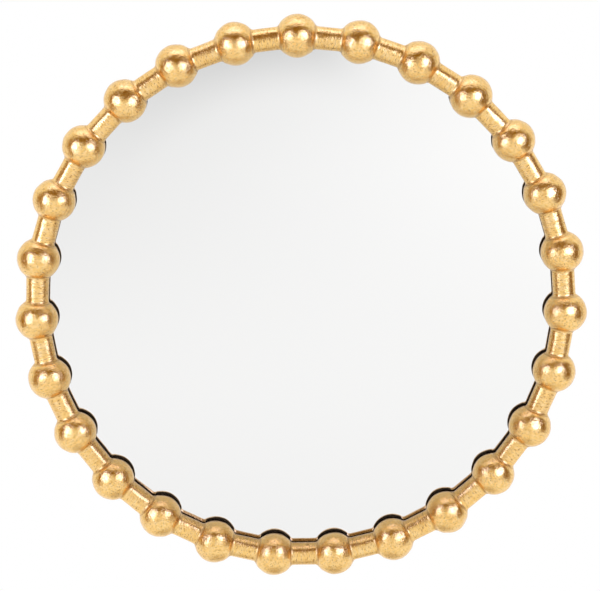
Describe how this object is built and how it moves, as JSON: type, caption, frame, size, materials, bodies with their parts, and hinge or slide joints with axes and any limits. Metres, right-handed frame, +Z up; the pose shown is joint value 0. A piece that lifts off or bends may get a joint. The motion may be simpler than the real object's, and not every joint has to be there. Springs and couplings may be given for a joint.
{
  "type": "round wall mirror",
  "caption": "Round wall mirror framed by a ring of gilded turned beads and short spindles, with a black backing board and two swinging hanging rings.",
  "frame": {"origin": "the middle of the ring, on the wall plane that the four rubber pads rest on", "axes": "+Z up, +Y into the wall; the mirror faces -Y, with +X to the right as it is looked at"},
  "size_m": [0.761, 0.0606, 0.7598],
  "materials": {
    "gilded_wood": "gold leaf over red clay on gesso, satin; painted black behind",
    "bare_wood": "bare beech",
    "mirror": "silvered float glass, polished",
    "foam": "closed-cell foam",
    "black_board": "fibreboard, painted matt black",
    "zinc_steel": "zinc plated",
    "nickel_wire": "nickel plated",
    "pad_rubber": "matt"
  },
  "bodies": {
    "frame": {"bead_01": "gilded_wood", "bead_02": "gilded_wood", "bead_03": "gilded_wood", "bead_04": "gilded_wood", "bead_05": "gilded_wood", "bead_06": "gilded_wood", "bead_07": "gilded_wood", "bead_08": "gilded_wood", "bead_09": "gilded_wood", "bead_10": "gilded_wood", "bead_11": "gilded_wood", "bead_12": "gilded_wood", "bead_13": "gilded_wood", "bead_14": "gilded_wood", "bead_15": "gilded_wood", "bead_16": "gilded_wood", "bead_17": "gilded_wood", "bead_18": "gilded_wood", "bead_19": "gilded_wood", "bead_20": "gilded_wood", "bead_21": "gilded_wood", "bead_22": "gilded_wood", "bead_23": "gilded_wood", "bead_24": "gilded_wood", "bead_25": "gilded_wood", "bead_26": "gilded_wood", "bead_27": "gilded_wood", "spindles": "gilded_wood", "dowels": "bare_wood", "mirror_glass": "mirror", "foam_strip": "foam", "backing_board": "black_board", "bead_screws": "zinc_steel", "hanger_strap_left": "zinc_steel", "hanger_strap_right": "zinc_steel", "hanger_screws": "zinc_steel", "wall_pads": "pad_rubber"},
    "ring_left": {"hanger_ring_left": "nickel_wire"},
    "ring_right": {"hanger_ring_right": "nickel_wire"}
  },
  "joints": [
    {"name": "ring_left_swing", "type": "hinge", "parent": "frame", "child": "ring_left", "pos_m": [-0.2, -0.00524, 0.17], "axis": [1, 0, 0], "range_deg": [-2, 182]},
    {"name": "ring_right_swing", "type": "hinge", "parent": "frame", "child": "ring_right", "pos_m": [0.2, -0.00524, 0.17], "axis": [1, 0, 0], "range_deg": [-2, 182]}
  ]
}
